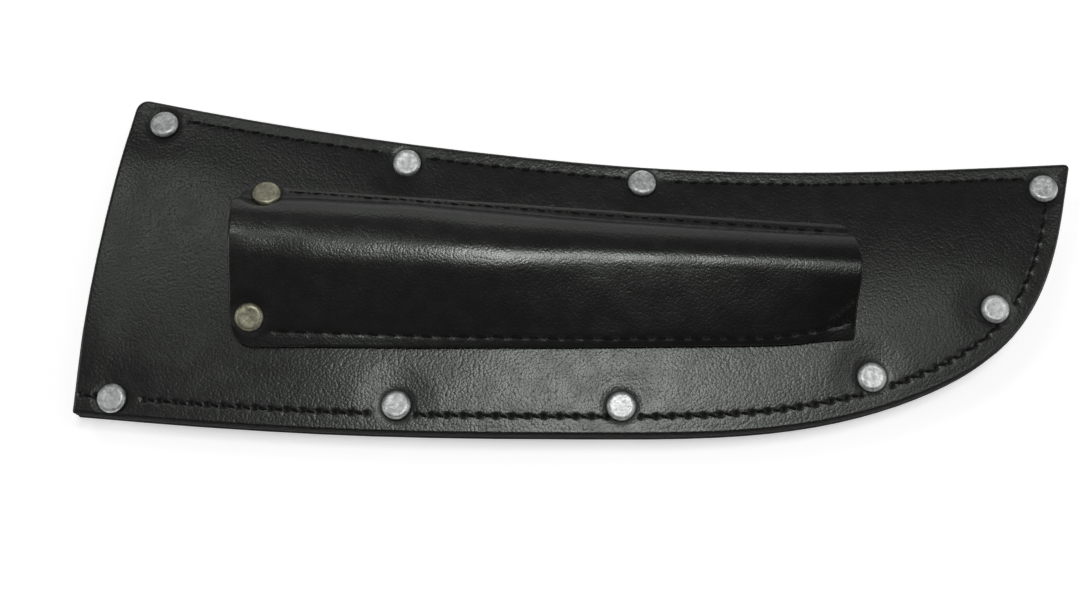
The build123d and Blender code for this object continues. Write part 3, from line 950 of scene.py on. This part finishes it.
def stitch_tube(start, end, normal, radius, rng):
    """One stitch as a twisted cord that comes out of one hole and goes down the next."""
    way = end - start
    length = np.linalg.norm(way)
    way = way / length
    side = np.cross(normal, way)
    t = np.linspace(0, 1, 17)
    arch = np.sin(math.pi * t) ** 0.4
    depth = HOLE_DEPTH + (1.0 + STITCH_RISE) * arch
    spine = start + np.outer(t * length, way) + np.outer(depth, normal)
    spine += np.outer(0.06 * np.sin(t * 6 + rng.uniform(0, 6)), side)
    flow = np.gradient(spine, axis=0)
    flow /= np.linalg.norm(flow, axis=1, keepdims=True)
    out = np.cross(flow, side)
    out /= np.linalg.norm(out, axis=1, keepdims=True)
    turn = np.linspace(0, 2 * math.pi, 12, endpoint=False)
    twist = rng.uniform(0, 6)
    rings = []
    for k in range(len(t)):
        lay = turn * PLIES + twist + t[k] * length * TWIST
        plump = 0.8 + 0.25 * math.sin(math.pi * t[k])
        swell = radius * (0.84 + 0.2 * np.abs(np.cos(lay / 2))) * plump
        upward = np.outer(swell * np.cos(turn), out[k])
        sideways = np.outer(swell * np.sin(turn), side)
        rings.append(spine[k] + upward + sideways)
    return np.vstack(rings), len(t), len(turn)


def seam_thread(stitches, surface, up, radius, slant, share):
    """A seam's thread on one face. surface gives the height of the leather under it, and up is
    1 on the front and -1 on the back."""
    rng = np.random.default_rng(len(stitches))
    points, faces = [], []
    base = 0
    for centre, way, half in stitches:
        side = np.array([way[1], -way[0]])
        reach = half * share * rng.uniform(0.9, 1.1)
        lean = side * slant * rng.uniform(0.6, 1.3)
        middle_of = centre + side * rng.normal(0, 0.07)
        ends = [middle_of - way * reach + lean, middle_of + way * reach - lean]
        height, first, last = surface(np.array([middle_of, *ends]))
        start = np.array([*ends[0], height + (first - last) / 2])
        end = np.array([*ends[1], height + (last - first) / 2])
        thick = radius * rng.uniform(0.9, 1.12)
        tube, rings, around = stitch_tube(start, end, np.array([0, 0, up]), thick, rng)
        points.append(tube)
        for ring in range(rings - 1):
            for k in range(around):
                a, b = base + ring * around + k, base + ring * around + (k + 1) % around
                faces.append((a, b, b + around, a + around))
        faces.append(tuple(base + k for k in range(around))[::-1])
        faces.append(tuple(base + (rings - 1) * around + k for k in range(around)))
        base += rings * around
    return np.vstack(points), faces


def thread_piece(name, node, stitches, top, bottom, radius, slant, share=0.8):
    """Makes both faces of a seam as one piece. top and bottom give the leather's heights there,
    slant is how far a stitch's ends lie to the sides of the seam, and share is how much of its
    hole to hole length it shows."""
    upper, upper_faces = seam_thread(stitches, top, 1, radius, slant, share)
    lower, lower_faces = seam_thread(stitches, bottom, -1, radius, slant, share)
    shift = len(upper)
    faces = upper_faces + [tuple(v + shift for v in face) for face in lower_faces]
    points = np.vstack([upper, lower])
    make_piece(name, points, faces, [THREAD], np.zeros(len(faces)), [node])


def pocket_top(points):
    """The height of the pocket's flange at some places, from the nearest point of its surface."""
    flat = pocket[:, :, :2].reshape(-1, 2)
    tree = KDTree(len(flat))
    for index, place in enumerate(flat):
        tree.insert((place[0], place[1], 0), index)
    tree.balance()
    heights = pocket[:, :, 2].reshape(-1)
    return np.array([heights[tree.find((p[0], p[1], 0))[1]] for p in points])


EDGE_THREAD_R = 0.45
LOOP_THREAD_R = 0.42
strap_level = corners("belt_loop")[1][2] - 2 * STRAP_SKIN
for node, slant, share in (("spine_thread", 0.12, 0.7), ("belly_thread", -0.38, 0.56)):
    seam = edge_seams[node]
    thread_piece(node + "_cord", node, seam, front_face, back_face, EDGE_THREAD_R, slant, share)
blade_side = level(crown_level - PANEL_SKIN)
for node, radius in (("pocket_upper_thread", 0.3), ("pocket_lower_thread", 0.42)):
    thread_piece(node + "_cord", node, pocket_seams[node], pocket_top, blade_side, radius, -0.15)
for node, seam in loop_seams.items():
    top, bottom = level(back_high[2]), level(strap_level)
    thread_piece(node + "_cord", node, seam, top, bottom, LOOP_THREAD_R, 0.2)

# ------------------------------ rivets
# A head's profile as (share of its radius, share of its height), from its middle to its rim
HEAD_PROFILE = [
    (0.0, 0.93), (0.25, 0.935), (0.5, 0.955), (0.66, 0.975), (0.76, 0.95), (0.86, 0.82),
    (0.94, 0.58), (0.99, 0.30), (1.0, 0.08), (0.985, -0.05), (0.93, -0.12),
]
POST_R = 1.5
HEAD_RISE = 1.3
# How far the seats of the heads stand over the leather
EDGE_SEAT = 0.45
POCKET_SEAT = 0.1


def lathe(profile, segments, dent, rng):
    """A turned shape with slight dents. profile is (radius, height) from the middle outwards."""
    fine = eased(profile, 3)
    turn = np.linspace(0, 2 * math.pi, segments, endpoint=False)
    points = [np.array([[0.0, 0.0, fine[0, 1]]])]
    for radius, height in fine[1:]:
        ring = [radius * np.cos(turn), radius * np.sin(turn), np.full(segments, height)]
        points.append(np.stack(ring, axis=1))
    points = np.vstack(points)
    faces = [(0, 1 + k, 1 + (k + 1) % segments) for k in range(segments)]
    for ring in range(len(fine) - 2):
        base = 1 + ring * segments
        for k in range(segments):
            a, b = base + k, base + (k + 1) % segments
            faces.append((a, a + segments, b + segments, b))
    last_ring = len(points) - segments
    faces.append(tuple(last_ring + k for k in range(segments))[::-1])
    seed = int(rng.integers(1, 10000))
    points[:, 2] += dent * waves(points[:, :2], 3.0, seed)
    points[:, 2] += dent * 0.5 * waves(points[:, :2], 1.3, seed + 1)
    return points, faces


def rivet_piece(node, head_z, facing, metal, lean, rng):
    """Makes a rivet with its head's seat at head_z. facing is 1 for a head that faces up and -1
    for one that faces down, and lean is how far the head tips, about X and Y."""
    low, high = corners(node)
    centre = middle(node)
    depth = head_z - low[2] if facing > 0 else high[2] - head_z
    wide = HEAD_R * rng.uniform(1.01, 1.05)
    profile = [(r * wide, z * HEAD_RISE) for r, z in HEAD_PROFILE]
    profile += [(POST_R * 1.4, -0.2), (POST_R, -0.5)]
    profile += [(POST_R, -depth * 0.5), (POST_R, -depth)]
    points, faces = lathe(profile, 56, 0.03, rng)
    turn = Matrix.Rotation(lean[0], 3, "X") @ Matrix.Rotation(lean[1], 3, "Y")
    if facing < 0:
        turn = Matrix.Rotation(math.pi, 3, "X") @ turn
    points = points @ np.array(turn).T + np.array([centre[0], centre[1], head_z])
    make_piece(node + "_turned", points, faces, [metal], np.zeros(len(faces)), [node])


def cap_piece(node, face_z, facing, metal, rng):
    """Makes a rivet's cap: a shallow dome against the leather at face_z."""
    low, high = corners(node)
    centre = middle(node)
    height = high[2] - low[2]
    profile = [(r * HEAD_R, z * height) for r, z in HEAD_PROFILE]
    profile += [(POST_R, -0.05), (0.4, -0.05)]
    points, faces = lathe(profile, 48, 0.02, rng)
    if facing < 0:
        points = points * np.array([1, -1, -1])
    points = points + np.array([centre[0], centre[1], face_z])
    make_piece(node + "_turned", points, faces, [metal], np.zeros(len(faces)), [node])


rng = np.random.default_rng(11)
# How the heads of the edge rivets tip about X, in degrees, from the mouth round by the tip
EDGE_TIPS = (-6.5, 3.0, -8.0, -3.0, 5.0, 5.0, 3.0, -3.0, 2.0)
for node, tip in zip(EDGE_RIVETS, EDGE_TIPS):
    lean = (math.radians(tip), math.radians(rng.normal(0.0, 2.0)))
    seat = crown_at(middle(node)[None, :2])[0] + EDGE_SEAT
    rivet_piece(node, seat, 1, SILVER, lean, rng)
    cap = node.replace("edge_rivet_", "edge_rivet_cap_")
    cap_piece(cap, corners(cap)[1][2], -1, SILVER, rng)
for node, tip in zip(POCKET_RIVETS, POCKET_TIPS):
    lean = (math.radians(tip), 0.03)
    seat = pocket_top(middle(node)[None, :2])[0] + POCKET_SEAT
    rivet_piece(node, seat, 1, BRASS, lean, rng)
    cap = node.replace("pocket_rivet_", "pocket_rivet_cap_")
    cap_piece(cap, corners(cap)[1][2], -1, BRASS, rng)
for node in LOOP_RIVETS:
    rivet_piece(node, strap_level, -1, SILVER, (0.0, 0.0), rng)
    cap = node.replace("loop_rivet_", "loop_rivet_cap_")
    cap_piece(cap, corners(cap)[0][2], 1, SILVER, rng)

# ------------------------------ floor, light and camera
FLOOR_HALF = 4.0


def floor():
    """White paper under the sheath, which gives off a little light of its own."""
    n = Nodes("floor_paper")
    paper = n.finish(
        Base_Color=shade(0.90),
        Roughness=0.9,
        Emission_Color=shade(1.0),
        Emission_Strength=0.5,
    )
    signs = [(-1, -1), (1, -1), (1, 1), (-1, 1)]
    places = [(x * FLOOR_HALF, y * FLOOR_HALF, 0) for x, y in signs]
    mesh = bpy.data.meshes.new("floor")
    mesh.from_pydata(places, [], [(0, 1, 2, 3)])
    mesh.materials.append(paper)
    made = bpy.data.objects.new("floor", mesh)
    bpy.context.scene.collection.objects.link(made)


def soft_light(name, place, size, watts):
    """A rectangle of light that faces the origin."""
    light = bpy.data.lights.new(name, "AREA")
    light.shape = "RECTANGLE"
    light.size, light.size_y = size
    light.energy = watts
    lamp = bpy.data.objects.new(name, light)
    lamp.location = place
    lamp.rotation_euler = (-Vector(place)).to_track_quat("-Z", "Y").to_euler()
    bpy.context.scene.collection.objects.link(lamp)


def studio():
    """A dim room that turns pale towards the horizon."""
    world = bpy.data.worlds.new("studio")
    world.use_nodes = True
    tree = world.node_tree
    place = tree.nodes.new("ShaderNodeTexCoord")
    split = tree.nodes.new("ShaderNodeSeparateXYZ")
    fade = tree.nodes.new("ShaderNodeMapRange")
    tree.links.new(place.outputs["Generated"], split.inputs[0])
    tree.links.new(split.outputs["Z"], fade.inputs["Value"])
    tree.links.new(fade.outputs["Result"], tree.nodes["Background"].inputs["Strength"])
    brightness = {"From Min": 0.02, "From Max": 0.20, "To Min": 0.9, "To Max": 0.07}
    for key, value in brightness.items():
        fade.inputs[key].default_value = value
    tree.nodes["Background"].inputs["Color"].default_value = (1.0, 1.0, 1.0, 1.0)
    bpy.context.scene.world = world


floor()
studio()
soft_light("overhead", (0.045, -0.01, 1.0), (0.28, 0.18), 3.1)
soft_light("tip_fill", (0.40, 0.10, 1.0), (0.2, 0.2), 0.45)
soft_light("mouth_fill", (-0.40, 0.40, 1.0), (0.2, 0.12), 0.65)
soft_light("behind", (0.05, 1.3, 0.55), (1.2, 0.4), 2.0)
soft_light("left", (-1.1, -0.1, 0.6), (0.5, 0.8), 2.2)
soft_light("right", (1.1, -0.1, 0.6), (0.5, 0.8), 2.2)
bpy.context.scene.view_settings.view_transform = "Standard"

# The camera looks down from the belly side, 75 degrees above the floor.
LOOK_AT = Vector((-11.9, -11.2, 12.0)) * MM
ELEVATION = math.radians(75.0)
DISTANCE = 0.429
camera_data = bpy.data.cameras.new("camera")
camera_data.lens = 50.0
camera_data.sensor_width = 36.0
camera_data.clip_start = 0.01
camera = bpy.data.objects.new("camera", camera_data)
outward = Vector((0.0, -math.cos(ELEVATION), math.sin(ELEVATION)))
camera.location = LOOK_AT + outward * DISTANCE
camera.rotation_euler = (math.pi / 2 - ELEVATION, 0.0, 0.0)
bpy.context.scene.collection.objects.link(camera)
bpy.context.scene.camera = camera
